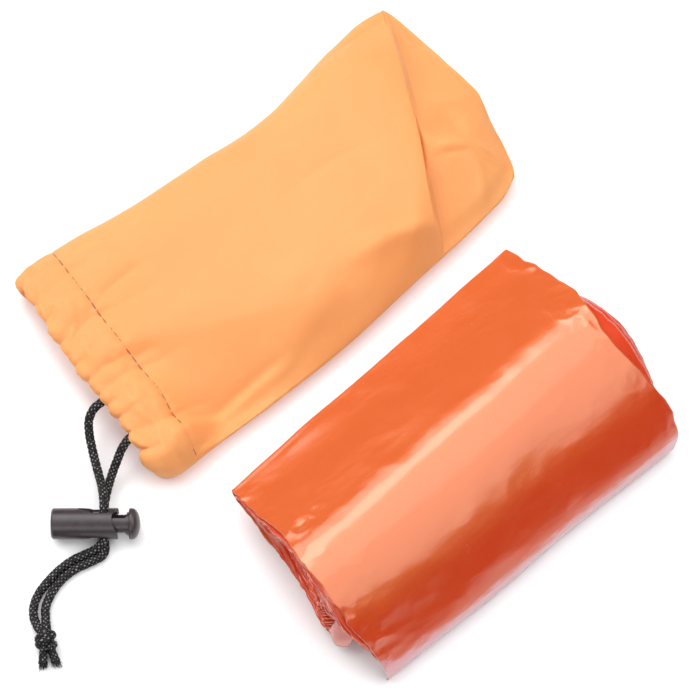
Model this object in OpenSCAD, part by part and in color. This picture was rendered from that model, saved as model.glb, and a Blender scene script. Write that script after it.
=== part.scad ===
// Emergency bivy sack set: an open drawcord stuff sack with its cord lock, lying beside the folded film bivy.
// +X runs along the sack from its mouth to its closed end, +Y runs from the bivy to the sack, and +Z is up.
// The origin is on the ground, below the middle of the box round the sack and the folded bivy.

/* [Stuff sack] */
// Thickness of the modelled sack fabric
fabric_t = 0.6; // [0.5:0.1:0.7]
// Width of the drawcord channel along the sack
channel_w = 15.4; // [14:0.2:16]
// How far the channel stands off the sack wall
channel_bulge = 3.2; // [3.2:0.1:3.5]
// Height of the sack at the crease of its boxed end
end_crease_h = 19; // [16:1:22]
// Length of one sewing stitch
stitch_l = 2.2; // [1.6:0.2:2.6]

/* [Drawcord] */
// Diameter of the drawcord
cord_d = 2.5; // [2.3:0.1:2.5]
// Length of the frayed ends past the knot
cord_tip_l = 5; // [3:1:6]

/* [Cord lock] */
// Outer diameter of the barrel and of the button head
lock_d = 9.1; // [8.8:0.1:9.6]
// Length of the barrel
lock_l = 19.4; // [18:0.2:22]
// Diameter of the sliding plunger stem
stem_d = 6.8; // [6.4:0.1:7]
// Radial running clearance of the stem in the barrel
stem_clearance = 0.06; // [0.02:0.01:0.1]
// Thickness of the button head
button_t = 3.2; // [2.6:0.2:3.6]
// Length of bare stem between the barrel and the button
neck_l = 3.2; // [3:0.1:3.6]
// Roll of the lock about its own barrel axis
lock_roll = 30; // [20:1:32]

/* [Folded bivy] */
// Length of the folded bivy, the width of the strip it is rolled from
bivy_l = 112; // [100:1:116]
// Number of turns of the rolled strip
bivy_turns = 5; // [3:1:5]
// Thickness of one film layer with the folds it stands for
film_t = 0.9; // [0.7:0.1:1]
// Width of the heat welds along the bag's two sides
weld_w = 3; // [2:0.5:4]

/* [Hidden] */

sack_color = "#fbc078";
thread_color = "#d98f4a";
cord_color = "#1d1b1c";
lock_color = "#40363b";
steel_color = "#b9bcc0";
film_color = "#ea6334";
lining_color = "#e8a9a0";

// ---- Sack surface -------------------------------------------------------------------------------
// Edges of the sack's wall against the station, its place along the middle line of the sack.
mouth_s = -72.7;
crease_s = 56;
near_edge = [[-73, 9.8], [-58, 4.8], [-35, 2.5], [-10, 1], [20, 1], [crease_s, 3.5]];
far_edge = [[-73, 79.8], [-58, 81], [-35, 78.5], [-10, 75], [20, 70.8], [30, 70.4], [crease_s, 73]];
low_side = [[-73, channel_bulge], [-61, channel_bulge], [-57.5, fabric_t], [-48, 0], [crease_s, 0]];
high_side = [[-73, 9.4], [-61, 9.4], [-57.5, 11], [-30, 14], [20, 17.5], [crease_s, end_crease_h]];
roundness = [[-73, 0.45], [-57, 0.5], [-30, 0.7], [crease_s, 0.8]];
skew = [[-73, 0.137], [-58, 0.12], [-10, 0.03], [20, 0]];
skew_pivot_y = 42;
slant_s = 20;
ring_n = 40;
wall_s = [mouth_s, -68, -61, -57.5, -52, -44, -34, -20, -5, 8, slant_s, 30, 40, 49, crease_s];

// The top of the end ring follows the crease of the boxed end, and its bottom follows the foot.
function crease_x(y) = 36 + 0.587 * (y - 8);
function foot_x(y) = 77 - 12 * pow((y - 52) / 46, 2);

function signed_pow(v, p) = sign(v) * pow(abs(v), p);
function ring_y(s, a, off) =
    let (near = lookup(s, near_edge), far = lookup(s, far_edge))
    (near + far) / 2 + ((far - near) / 2 + off) * cos(a);
function ring_z(s, a, off) =
    let (low = lookup(s, low_side), high = lookup(s, high_side))
    (low + high) / 2 + ((high - low) / 2 + off) * signed_pow(sin(a), lookup(s, roundness));
function ring_x(s, y, a) =
    let (straight = min(s, slant_s), slant = (s - straight) / (crease_s - slant_s))
    let (flat_x = straight + lookup(straight, skew) * (y - skew_pivot_y))
    let (up = (1 + sin(a)) / 2, end_x = up * crease_x(y) + (1 - up) * foot_x(y))
    (1 - slant) * flat_x + slant * end_x;
function wall_point(s, a, off = 0) =
    let (y = ring_y(s, a, off))
    [ring_x(s, y, a), y, ring_z(s, a, off)];

// The end panel is a shallow dome from the end ring (r = 1) to its middle (r = 0).
end_middle = [66, 39, 9];
end_normal = [0.6, -0.2, 0.75];
end_bulge = 3;
function end_point(r, a, off = 0) =
    end_middle + r * (wall_point(crease_s, a) - end_middle) + (end_bulge * (1 - r * r) + off) * end_normal;

// ---- Mesh helpers -------------------------------------------------------------------------------
// A sheet between an outer and an inner grid of points: round shuts it into a ring, capped shuts its end.
module sheet_solid(outer, inner, round = true, capped = false) {
    rows = len(outer);
    cols = len(outer[0]);
    spans = round ? cols : cols - 1;
    back = rows * cols;
    last = rows - 1;
    function at(i, j, base = 0) = base + i * cols + j % cols;
    polyhedron(
        points = [for (grid = [outer, inner]) for (row = grid) for (p = row) p],
        faces = [
            for (i = [0 : last - 1]) for (j = [0 : spans - 1]) each [
                [at(i, j), at(i, j + 1), at(i + 1, j + 1)],
                [at(i, j), at(i + 1, j + 1), at(i + 1, j)],
                [at(i, j + 1, back), at(i, j, back), at(i + 1, j + 1, back)],
                [at(i + 1, j + 1, back), at(i, j, back), at(i + 1, j, back)]
            ],
            for (j = [0 : spans - 1]) each [
                [at(0, j), at(0, j, back), at(0, j + 1, back)],
                [at(0, j), at(0, j + 1, back), at(0, j + 1)]
            ],
            if (capped) [for (j = [0 : cols - 1]) at(last, j)],
            if (capped) [for (j = [cols - 1 : -1 : 0]) at(last, j, back)],
            if (!capped) for (j = [0 : spans - 1]) each [
                [at(last, j), at(last, j + 1), at(last, j + 1, back)],
                [at(last, j), at(last, j + 1, back), at(last, j, back)]
            ],
            if (!round) for (i = [0 : last - 1]) each [
                [at(i, 0), at(i + 1, 0), at(i + 1, 0, back)],
                [at(i, 0), at(i + 1, 0, back), at(i, 0, back)],
                [at(i, cols - 1), at(i, cols - 1, back), at(i + 1, cols - 1, back)],
                [at(i, cols - 1), at(i + 1, cols - 1, back), at(i + 1, cols - 1)]
            ]
        ]
    );
}

// A round cord swept along a route that never runs straight up.
cord_sides = 8;
function unit(v) = v / norm(v);
module cord_along(route) {
    last = len(route) - 1;
    rings = [
        for (i = [0 : last])
        let (along = unit(route[min(i + 1, last)] - route[max(i - 1, 0)]))
        let (side = unit(cross([0, 0, 1], along)), up = cross(along, side))
        [for (j = [0 : cord_sides - 1])
            let (a = -360 * j / cord_sides)
            route[i] + cord_d / 2 * (cos(a) * side + sin(a) * up)]
    ];
    polyhedron(
        points = [for (ring = rings) for (p = ring) p],
        faces = [
            [for (j = [cord_sides - 1 : -1 : 0]) j],
            for (i = [0 : last - 1]) for (j = [0 : cord_sides - 1])
                let (k = (j + 1) % cord_sides, here = i * cord_sides, next = here + cord_sides)
                each [[here + j, here + k, next + k], [here + j, next + k, next + j]],
            [for (j = [0 : cord_sides - 1]) last * cord_sides + j]
        ]
    );
}

// ---- Sack ---------------------------------------------------------------------------------------
function ring_angles(n) = [for (j = [0 : n - 1]) -360 * j / n];

module sack_body() {
    color(sack_color)
        sheet_solid(
            [for (s = wall_s) [for (a = ring_angles(ring_n)) wall_point(s, a)]],
            [for (s = wall_s) [for (a = ring_angles(ring_n)) wall_point(s, a, -fabric_t)]]
        );
}

module sack_end_panel() {
    radii = [1, 0.85, 0.6, 0.35, 0.1];
    color(sack_color)
        sheet_solid(
            [for (r = radii) [for (a = ring_angles(ring_n)) end_point(r, a, fabric_t)]],
            [for (r = radii) [for (a = ring_angles(ring_n)) end_point(r, a, 0.02)]],
            capped = true
        );
}

// The channel is the hem folded back over the wall: [share of its width, stand-off of its outer face].
channel_profile = [[0, fabric_t], [0.03, 0.6 * channel_bulge], [0.12, channel_bulge],
    [0.7, channel_bulge], [0.86, 0.6 * channel_bulge], [1, fabric_t]];
channel_front_s = mouth_s - 0.6;
exit_far_y = 35;
exit_near_y = 21;
exit_z = 10.7;
exit_slit_w = 3.6;
function channel_s(t) = channel_front_s + channel_w * t;

module sack_channel() {
    color(sack_color)
        difference() {
            sheet_solid(
                [for (p = channel_profile) [for (a = ring_angles(ring_n)) wall_point(channel_s(p[0]), a, p[1])]],
                [for (p = channel_profile)
                    [for (a = ring_angles(ring_n)) wall_point(channel_s(p[0]), a, p[1] - fabric_t + 0.02)]]
            );
            for (y = [exit_far_y, exit_near_y])
                translate([ring_x(channel_front_s, y, 90) - 4, y, exit_z])
                    rotate([0, 90, 0])
                        cylinder(d = exit_slit_w, h = 8, $fn = 32);
        }
}

// The allowance of the side seam lies inside the sack, along its near edge.
module sack_side_seam() {
    angles = [for (a = [206 : -4 : 190]) a];
    stations = [-50, -44, -34, -20, -5, 8, 18];
    color(sack_color)
        sheet_solid(
            [for (s = stations) [for (a = angles) wall_point(s, a, -fabric_t - 0.02)]],
            [for (s = stations) [for (a = angles) wall_point(s, a, -2 * fabric_t)]],
            round = false
        );
}

// The end seam crosses the end panel from the crease to the near corner as a low ridge.
seam_from_a = 113;
seam_to_a = 163;
seam_half_w = 0.035;
function seam_r(a) = 0.93 - 0.2 * sin(180 * (a - seam_from_a) / (seam_to_a - seam_from_a));

module sack_end_seam() {
    angles = [for (a = [seam_to_a : -5 : seam_from_a]) a];
    sides = [1, 0, -1];
    color(sack_color)
        sheet_solid(
            [for (k = sides) [for (a = angles) end_point(seam_r(a) + k * seam_half_w, a, fabric_t + 0.5)]],
            [for (k = sides) [for (a = angles) end_point(seam_r(a) + k * seam_half_w, a, fabric_t + 0.03)]],
            round = false
        );
}

// One stitch lies on the surface between two points of it.
stitch_w = 0.5;
stitch_h = 0.3;
module stitch(from, to) {
    run = to - from;
    translate((from + to) / 2)
        rotate([0, -atan2(run.z, norm([run.x, run.y])), atan2(run.y, run.x)])
            cube([stitch_l, stitch_w, stitch_h], center = true);
}

stitch_row_n = 44;
module channel_stitching() {
    s = channel_s(0.97);
    step = 360 / stitch_row_n;
    color(thread_color)
        for (i = [0 : stitch_row_n - 1])
            stitch(
                wall_point(s, (i + 0.2) * step, fabric_t + 0.6),
                wall_point(s, (i + 0.8) * step, fabric_t + 0.6)
            );
}

// Short visible stitches where the far corner of the boxed end is sewn across.
corner_stitch_n = 5;
module corner_stitching() {
    color(thread_color)
        for (i = [0 : corner_stitch_n - 1])
            let (a = 38 + 6 * i)
            stitch(
                wall_point(crease_s - 1, a, stitch_h / 2),
                wall_point(crease_s - 1, a + 4, stitch_h / 2)
            );
}

// ---- Drawcord -----------------------------------------------------------------------------------
// The routes are the middle lines of the cord. Both strands run from the channel, through the lock,
// to the knot; each is cut at the middle of the lock, where the lock's slide shortens the loop.
loop_far_route = [
    [-67.5, 37.6, 10.7], [-70.2, 35.7, 10.7], [-74, 35, 10.7], [-77.4, 35.2, 10], [-80.4, 34.2, 8.3],
    [-82.8, 31.6, 6.5], [-84.9, 28.2, 5.1], [-87, 24.4, 4.4], [-89, 20.6, 4.8], [-91, 16.9, 6.2],
    [-93.3, 13.4, 7.7], [-95.7, 10.4, 8.3], [-98.45, 7.45, 6.1]
];
loop_near_route = [
    [-70, 18.2, 10.7], [-72.4, 20.2, 10.7], [-76, 21, 10.6], [-79.4, 20.6, 9.2], [-82.4, 19.6, 6.8],
    [-85.4, 18.4, 4.6], [-88.6, 16.6, 3.6], [-91.8, 14.2, 4.6], [-94.9, 11.3, 6.1], [-97.55, 8.6, 3.8]
];
tail_outer_route = [
    [-98.45, 7.45, 6.1], [-101.1, 4.7, 3.7], [-104, 4.5, 2.4], [-107.6, 5.7, 1.6], [-111.6, 6.9, 1.3],
    [-116.2, 7.3, 1.3], [-121, 6.9, 1.3], [-125.2, 6, 1.3], [-128.5, 4.4, 1.3], [-130.9, 2, 1.5],
    [-132.2, -0.8, 2], [-132.8, -3.6, 2.8]
];
tail_inner_route = [
    [-97.55, 8.6, 3.8], [-100.2, 5.6, 1.6], [-103.7, 2.2, 1.3], [-107.8, 2.9, 1.3], [-112, 4.2, 1.3],
    [-116.4, 4.7, 1.3], [-120.8, 4.1, 1.3], [-124.2, 2.9, 1.3], [-126.9, 1.3, 1.3], [-128.7, -0.8, 1.5],
    [-130.2, -2.8, 2], [-131.4, -4.6, 2.6]
];
knot_middle = [-133.6, -6.6, 3];
knot_r = 2.4;
// Ways the two frayed ends point, away from the knot.
tip_ways = [[-0.75, -0.65, -0.1], [-0.45, -0.88, -0.1]];

// Inside the channel the cord follows the fold all the way round, held by the fabric.
channel_cord_s = -66.2;
channel_cord_a = [for (a = [106 : 12 : 418]) a];

module channel_cord() {
    middle = [for (a = channel_cord_a) wall_point(channel_cord_s, a, channel_bulge / 2 - fabric_t / 2)];
    color(cord_color)
        cord_along(concat([loop_far_route[0]], [for (i = [len(middle) - 1 : -1 : 0]) middle[i]], [loop_near_route[0]]));
}

module cord_knot() {
    color(cord_color)
        hull() {
            translate(knot_middle + [-1.3, 0.4, -0.3])
                sphere(r = knot_r, $fn = 16);
            translate(knot_middle + [1.2, -1.4, -0.2])
                sphere(r = knot_r, $fn = 16);
        }
}

module cord_ends() {
    color(cord_color)
        for (i = [0, 1])
            let (start = knot_middle + 3.4 * tip_ways[i] + [1 - 2 * i, 2 * i - 1, -0.4] * 0.3)
            cord_along([for (t = [0, 0.5, 1]) start + t * cord_tip_l * tip_ways[i]]);
}

// ---- Cord lock ----------------------------------------------------------------------------------
// The lock's own +X runs along the barrel to the button and +Y runs along the cord hole to the sack.
lock_at = [-98, 8, 4.95];
lock_turn = -43;
barrel_end = 4.1;
barrel_wall = 1.7;
slot_h = 2 * cord_d + 0.35;
cord_gap = 0.2;
neck_notch_r = 5;
neck_notch_depth = 1.8;
clamp_t = 1.8;
slot_corner_r = 0.9;
bore_r = stem_d / 2 + stem_clearance;

module on_lock() {
    translate(lock_at)
        rotate([0, 0, lock_turn])
            rotate([lock_roll, 0, 0])
                children();
}

// A window of rounded corners, cut right through across the barrel.
module cord_window(x0, x1) {
    r = slot_corner_r;
    rotate([90, 0, 0])
        linear_extrude(height = 2 * lock_d, center = true) {
            translate([x0 + r, -slot_h / 2])
                square([x1 - x0 - 2 * r, slot_h]);
            translate([x0, -slot_h / 2 + r])
                square([x1 - x0, slot_h - 2 * r]);
            for (x = [x0 + r, x1 - r])
                for (y = [r - slot_h / 2, slot_h / 2 - r])
                    translate([x, y])
                        circle(r = r, $fn = 24);
        }
}

module lock_barrel() {
    r = lock_d / 2;
    edge = 0.5;
    back = barrel_end - lock_l;
    color(lock_color)
        on_lock()
            difference() {
                rotate([0, 90, 0])
                    rotate_extrude($fn = 64)
                        polygon([[0, back], [r - edge, back], [r, back + edge],
                            [r, barrel_end - edge / 2], [r - edge / 2, barrel_end], [0, barrel_end]]);
                translate([back + barrel_wall, 0, 0])
                    rotate([0, 90, 0])
                        cylinder(r = bore_r, h = lock_l, $fn = 64);
                cord_window(-cord_d / 2 - cord_gap - 2.6, cord_d / 2 + cord_gap);
                rotate([90, 0, 0])
                    linear_extrude(height = 2 * lock_d, center = true)
                        polygon([[-3.4, -slot_h / 2 + 0.3], [-7.6, -0.9], [-7.6, 0.9], [-3.4, slot_h / 2 - 0.3]]);
                rotate([-lock_roll, 0, 0])
                    translate([barrel_end - neck_notch_depth + neck_notch_r, 0, -lock_d])
                        cylinder(r = neck_notch_r, h = 2 * lock_d, $fn = 64);
            }
}

module lock_plunger() {
    window_from = -cord_d / 2 - cord_gap;
    button_at = barrel_end + neck_l;
    r = lock_d / 2;
    color(lock_color)
        on_lock() {
            difference() {
                translate([window_from - clamp_t, 0, 0])
                    rotate([0, 90, 0])
                        cylinder(d = stem_d, h = button_at - window_from + clamp_t, $fn = 64);
                cord_window(window_from, button_at - 0.6);
            }
            translate([button_at, 0, 0])
                rotate([0, 90, 0])
                    rotate_extrude($fn = 64)
                        polygon([[0, 0], [r - 0.2, 0], [r, 0.3], [r, 0.9],
                            for (a = [15 : 15 : 90]) [r * cos(a), 0.9 + (button_t - 0.9) * sin(a)]]);
        }
}

// The compression spring is drawn as its coils laid one by one behind the plunger.
spring_coils = 6;
spring_wire_d = 0.6;
spring_r = 2.4;
module lock_spring() {
    from = barrel_end - lock_l + barrel_wall + 0.4;
    to = -cord_d / 2 - cord_gap - clamp_t - 0.4;
    color(steel_color)
        on_lock() {
            for (i = [0 : spring_coils - 1])
                translate([from + (to - from) * i / (spring_coils - 1), 0, 0])
                    rotate([0, 90, 0])
                        rotate_extrude($fn = 32)
                            translate([spring_r, 0])
                                circle(d = spring_wire_d, $fn = 16);
            for (side = [-1, 1])
                translate([from, 0, side * spring_r])
                    rotate([0, 90, 0])
                        cylinder(d = spring_wire_d * 0.8, h = to - from, $fn = 16);
        }
}

// ---- Folded bivy --------------------------------------------------------------------------------
// The bag is folded to a strip and rolled flat. This is the outline of its outer turn, from end on:
// a sharp fold on the far side, a slope up to a flattened crown, and a round near side.
bivy_outline = [[-12, 12], [-27, 26], [-44, 36], [-58, 38], [-70, 34.5], [-79.5, 24.5], [-84, 13],
    [-80.5, 3.6], [-72, 0], [-31, 0], [-17, 5]];
bivy_middle = [-53, 17];
bivy_x = -69.5;
turn_steps = 22;
turn_shrink = 0.16;
film_share = film_t / 19;
film_gap_share = 0.03;

// A smooth closed curve through the outline's points, by its share of the way round.
function on_outline(t) =
    let (n = len(bivy_outline), w = (t - floor(t)) * n, i = floor(w), f = w - i)
    let (p0 = bivy_outline[(i + n - 1) % n], p1 = bivy_outline[i])
    let (p2 = bivy_outline[(i + 1) % n], p3 = bivy_outline[(i + 2) % n])
    let (curve = p1 + 0.5 * f * (p2 - p0 + f * (2 * p0 - 5 * p1 + 4 * p2 - p3 + f * (3 * p1 - p0 - 3 * p2 + p3))))
    [curve.x, max(curve.y, 0)];
// Each turn keeps its distance from the last one, and steps inwards at its end, under the far fold.
step_in_from = 9 / 11;
function turns_in(t) = floor(t) + pow(max(0, t - floor(t) - step_in_from) / (1 - step_in_from), 2);
function roll_point(t, inset) =
    bivy_middle + (1 - turn_shrink * turns_in(t) - inset) * (on_outline(t) - bivy_middle);

// A band of the roll between two insets from its outer face, from one step round the roll to another.
last_step = bivy_turns * turn_steps;
module roll_band(inset_a, inset_b, step_a, step_b, x0, x1) {
    translate([x0, 0, 0])
        rotate([90, 0, 90])
            linear_extrude(height = x1 - x0)
                polygon(concat(
                    [for (i = [step_a : step_b]) roll_point(i / turn_steps, inset_a)],
                    [for (i = [step_b : -1 : step_a]) roll_point(i / turn_steps, inset_b)]
                ));
}

inner_film_inset = film_share + film_gap_share;

module bivy_outer_film() {
    color(film_color)
        roll_band(0, film_share, 0, last_step, bivy_x, bivy_x + bivy_l);
}

module bivy_inner_film() {
    color(lining_color)
        roll_band(inner_film_inset, inner_film_inset + film_share, 1, last_step, bivy_x - 2, bivy_x + bivy_l + 1);
}

module bivy_side_welds() {
    color(film_color)
        for (x = [bivy_x, bivy_x + bivy_l - weld_w])
            roll_band(film_share + 0.002, inner_film_inset - 0.002, 2, last_step - 3, x, x + weld_w);
}

// The foot of the bag starts the roll: its weld joins both films in the core.
module bivy_foot_weld() {
    color(film_color)
        roll_band(film_share + 0.002, inner_film_inset - 0.002, last_step - 2, last_step,
            bivy_x + weld_w + 1, bivy_x + bivy_l - weld_w - 1);
}

sack_body();
sack_end_panel();
sack_channel();
sack_side_seam();
sack_end_seam();
channel_stitching();
corner_stitching();
channel_cord();
color(cord_color) cord_along(loop_far_route);  // loop_strand_far
color(cord_color) cord_along(loop_near_route);  // loop_strand_near
color(cord_color) cord_along(tail_outer_route);  // tail_strand_outer
color(cord_color) cord_along(tail_inner_route);  // tail_strand_inner
cord_knot();
cord_ends();
lock_barrel();
lock_plunger();
lock_spring();
bivy_outer_film();
bivy_inner_film();
bivy_side_welds();
bivy_foot_weld();
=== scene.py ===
import math

import bmesh
import bpy
import numpy as np
from mathutils import Matrix, Vector


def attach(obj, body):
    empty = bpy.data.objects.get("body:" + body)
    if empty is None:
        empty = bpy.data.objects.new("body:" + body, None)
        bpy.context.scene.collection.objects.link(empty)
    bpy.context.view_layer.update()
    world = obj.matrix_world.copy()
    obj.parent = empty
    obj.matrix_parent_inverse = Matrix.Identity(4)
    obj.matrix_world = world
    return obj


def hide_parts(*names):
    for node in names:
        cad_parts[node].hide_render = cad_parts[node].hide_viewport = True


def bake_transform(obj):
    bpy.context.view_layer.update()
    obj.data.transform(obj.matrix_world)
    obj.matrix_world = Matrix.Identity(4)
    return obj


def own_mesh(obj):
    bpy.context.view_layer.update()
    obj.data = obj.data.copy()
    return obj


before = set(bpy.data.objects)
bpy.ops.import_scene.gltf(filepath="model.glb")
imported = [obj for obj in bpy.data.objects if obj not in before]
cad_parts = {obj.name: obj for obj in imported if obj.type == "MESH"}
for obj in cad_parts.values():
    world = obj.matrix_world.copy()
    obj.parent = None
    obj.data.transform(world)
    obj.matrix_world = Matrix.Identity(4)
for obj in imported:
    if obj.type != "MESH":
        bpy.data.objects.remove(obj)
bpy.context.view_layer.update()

MM = 0.001


# ---- Numbers and noise ----
def smoothstep(t):
    t = np.clip(t, 0.0, 1.0)
    return t * t * (3.0 - 2.0 * t)


def ramp(x, a, b):
    """0 before a, 1 after b, smooth between."""
    return smoothstep((np.asarray(x, float) - a) / (b - a))


def smooth_table(x, table):
    """A smooth curve through a table of (key, value), flat past its ends."""
    keys, values = np.array(table, float).T
    slopes = np.gradient(values, keys)
    x = np.clip(np.asarray(x, float), keys[0], keys[-1])
    i = np.clip(np.searchsorted(keys, x) - 1, 0, len(keys) - 2)
    h = keys[i + 1] - keys[i]
    t = (x - keys[i]) / h
    t2, t3 = t * t, t * t * t
    return (
        (2 * t3 - 3 * t2 + 1) * values[i]
        + (t3 - 2 * t2 + t) * h * slopes[i]
        + (3 * t2 - 2 * t3) * values[i + 1]
        + (t3 - t2) * h * slopes[i + 1]
    )


def value_noise(x, y, seed):
    """Smooth noise in -1..1 over a plane, with one hump or hollow per unit."""
    size = 64
    lattice = np.random.default_rng(seed).uniform(-1.0, 1.0, (size, size))
    x, y = np.broadcast_arrays(np.asarray(x, float), np.asarray(y, float))
    xi, yi = np.floor(x).astype(int), np.floor(y).astype(int)
    fx, fy = smoothstep(x - xi), smoothstep(y - yi)

    def at(i, j):
        return lattice[i % size, j % size]

    low = at(xi, yi) * (1 - fx) + at(xi + 1, yi) * fx
    high = at(xi, yi + 1) * (1 - fx) + at(xi + 1, yi + 1) * fx
    return low * (1 - fy) + high * fy


def crumple(x, y, size, seed, octaves=3):
    """Ridged noise in about -1..1: flat facets that meet in sharp creases, as in creased film."""
    total = np.zeros(np.broadcast(x, y).shape)
    weight = 1.0
    for k in range(octaves):
        turn = 0.7 + 1.1 * k
        u = (math.cos(turn) * x - math.sin(turn) * y) / size
        v = (math.sin(turn) * x + math.cos(turn) * y) / size
        total += weight * (1.0 - 2.6 * np.abs(value_noise(u + 9.1 * k, v - 5.3 * k, seed + k)))
        weight *= 0.5
        size *= 0.5
    return total / 1.6


# ---- Mesh helpers ----
def add_mesh(name, points, faces, *materials):
    """A mesh object from an (n, 3) array in millimetres, a list of faces and its materials."""
    mesh = bpy.data.meshes.new(name)
    mesh.from_pydata([tuple(p) for p in np.asarray(points) * MM], [], faces)
    mesh.validate()
    mesh.shade_smooth()
    for material in materials:
        mesh.materials.append(material)
    piece = bpy.data.objects.new(name, mesh)
    bpy.context.collection.objects.link(piece)
    return piece


def grid_faces(rows, cols, round_cols=False, start=0):
    """Quads of a grid of points laid out row by row."""
    faces = []
    for row in range(start, start + (rows - 1) * cols, cols):
        for j in range(cols if round_cols else cols - 1):
            k = (j + 1) % cols
            faces.append((row + j, row + k, row + cols + k, row + cols + j))
    return faces


def frames_along(path):
    """Two unit vectors across the path at each point, carried along it without twist."""
    tangents = np.gradient(path, axis=0)
    tangents /= np.linalg.norm(tangents, axis=1)[:, None]
    side = np.cross(tangents[0], [0.0, 0.0, 1.0])
    sides = []
    for t in tangents:
        side = side - t * np.dot(side, t)
        side /= np.linalg.norm(side)
        sides.append(side)
    sides = np.array(sides)
    return sides, np.cross(tangents, sides)


def tube_points(path, radius, sides):
    """Rings of points round a path; radius is one number or an array that fits (points, sides, 1)."""
    side, up = frames_along(path)
    angle = np.linspace(0.0, 2 * math.pi, sides, endpoint=False)[None, :, None]
    ring = np.cos(angle) * side[:, None, :] + np.sin(angle) * up[:, None, :]
    return (path[:, None, :] + radius * ring).reshape(-1, 3)


def tube_faces(rings, sides, start=0):
    """Faces round a tube and over its two ends."""
    last = start + (rings - 1) * sides
    faces = grid_faces(rings, sides, round_cols=True, start=start)
    faces.append(tuple(reversed(range(start, start + sides))))
    faces.append(tuple(range(last, last + sides)))
    return faces


def set_grid_uv(piece, coordinates):
    """Gives each corner the (u, v) of its point, in millimetres of cloth; round a cord u is in turns."""
    layer = piece.data.uv_layers.new(name="UVMap")
    index = np.empty(len(piece.data.loops), dtype=np.int32)
    piece.data.loops.foreach_get("vertex_index", index)
    layer.data.foreach_set("uv", np.asarray(coordinates, np.float32)[index].ravel())


def apply_modifiers(piece):
    """Bakes a piece's modifiers into its mesh."""
    graph = bpy.context.evaluated_depsgraph_get()
    mesh = bpy.data.meshes.new_from_object(piece.evaluated_get(graph))
    piece.modifiers.clear()
    old = piece.data
    piece.data = mesh
    bpy.data.meshes.remove(old)


def thicken(piece, thickness, rim_slot=0):
    """Gives a sheet its thickness, and its cut edges a material slot."""
    solid = piece.modifiers.new("thickness", "SOLIDIFY")
    solid.thickness = thickness * MM
    solid.offset = -1.0
    solid.material_offset_rim = rim_slot
    apply_modifiers(piece)


def settle(piece, body, slot, *nodes):
    """The piece moves with a body and stands for CAD nodes; its slot is not used."""
    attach(piece, body)
    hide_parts(*nodes)


# ---- Materials ----
def fill_ramp(color_ramp, stops):
    """Sets a colour ramp to the given stops, each a place and a colour."""
    first, last = color_ramp.elements
    first.position, first.color = stops[0]
    last.position, last.color = stops[-1]
    for place, tone in stops[1:-1]:
        color_ramp.elements.new(place).color = tone


def grey(value):
    return (value, value, value, 1.0)


def color(r, g, b):
    """A scene-linear colour from display values of 0 to 255."""

    def linear(c):
        c /= 255.0
        return c / 12.92 if c <= 0.04045 else ((c + 0.055) / 1.055) ** 2.4

    return (linear(r), linear(g), linear(b), 1.0)


class NodeBuilder:
    """A short way to write a node material: most methods add a node and return what comes out of it."""

    def __init__(self, name):
        self.material = bpy.data.materials.new(name)
        self.material.use_nodes = True
        self.tree = self.material.node_tree
        self.tree.nodes.clear()
        self.shader = self.node("ShaderNodeBsdfPrincipled")
        output = self.node("ShaderNodeOutputMaterial")
        self.wire(self.shader.outputs["BSDF"], output, "Surface")

    def node(self, kind, **settings):
        node = self.tree.nodes.new(kind)
        for key, value in settings.items():
            setattr(node, key, value)
        return node

    def wire(self, socket, node, into):
        self.tree.links.new(socket, node.inputs[into])

    def set(self, **values):
        """Gives the shader's inputs, named with _ for each space, a value or a socket to follow."""
        for key, value in values.items():
            into = key.replace("_", " ")
            if isinstance(value, bpy.types.NodeSocket):
                self.wire(value, self.shader, into)
            else:
                self.shader.inputs[into].default_value = value

    def position(self, scale):
        """Object coordinates in millimetres times scale."""
        place = self.node("ShaderNodeTexCoord")
        mapping = self.node("ShaderNodeMapping")
        mapping.inputs["Scale"].default_value = [s / MM for s in scale]
        self.wire(place.outputs["Object"], mapping, "Vector")
        return mapping.outputs["Vector"]

    def piece_uv(self):
        """The two coordinates that set_grid_uv gave the piece."""
        split = self.node("ShaderNodeSeparateXYZ")
        self.wire(self.node("ShaderNodeUVMap").outputs["UV"], split, "Vector")
        return split.outputs["X"], split.outputs["Y"]

    def noise(self, scale, detail=3.0, rough=0.55):
        """Noise over the piece; scale is in cycles per millimetre along x, y and z."""
        texture = self.node("ShaderNodeTexNoise")
        texture.inputs["Scale"].default_value = 1.0
        texture.inputs["Detail"].default_value = detail
        texture.inputs["Roughness"].default_value = rough
        self.wire(self.position(scale), texture, "Vector")
        return texture.outputs["Fac"]

    def ramp(self, value, stops):
        node = self.node("ShaderNodeValToRGB")
        fill_ramp(node.color_ramp, stops)
        self.wire(value, node, "Fac")
        return node.outputs["Color"]

    def math(self, operation, *values):
        node = self.node("ShaderNodeMath", operation=operation)
        for i, value in enumerate(values):
            if isinstance(value, bpy.types.NodeSocket):
                self.wire(value, node, i)
            else:
                node.inputs[i].default_value = value
        return node.outputs["Value"]

    def bump(self, height, strength, distance_mm, under=None):
        node = self.node("ShaderNodeBump")
        node.inputs["Strength"].default_value = strength
        node.inputs["Distance"].default_value = distance_mm * MM
        self.wire(height, node, "Height")
        if under is not None:
            self.wire(under, node, "Normal")
        return node.outputs["Normal"]


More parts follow.
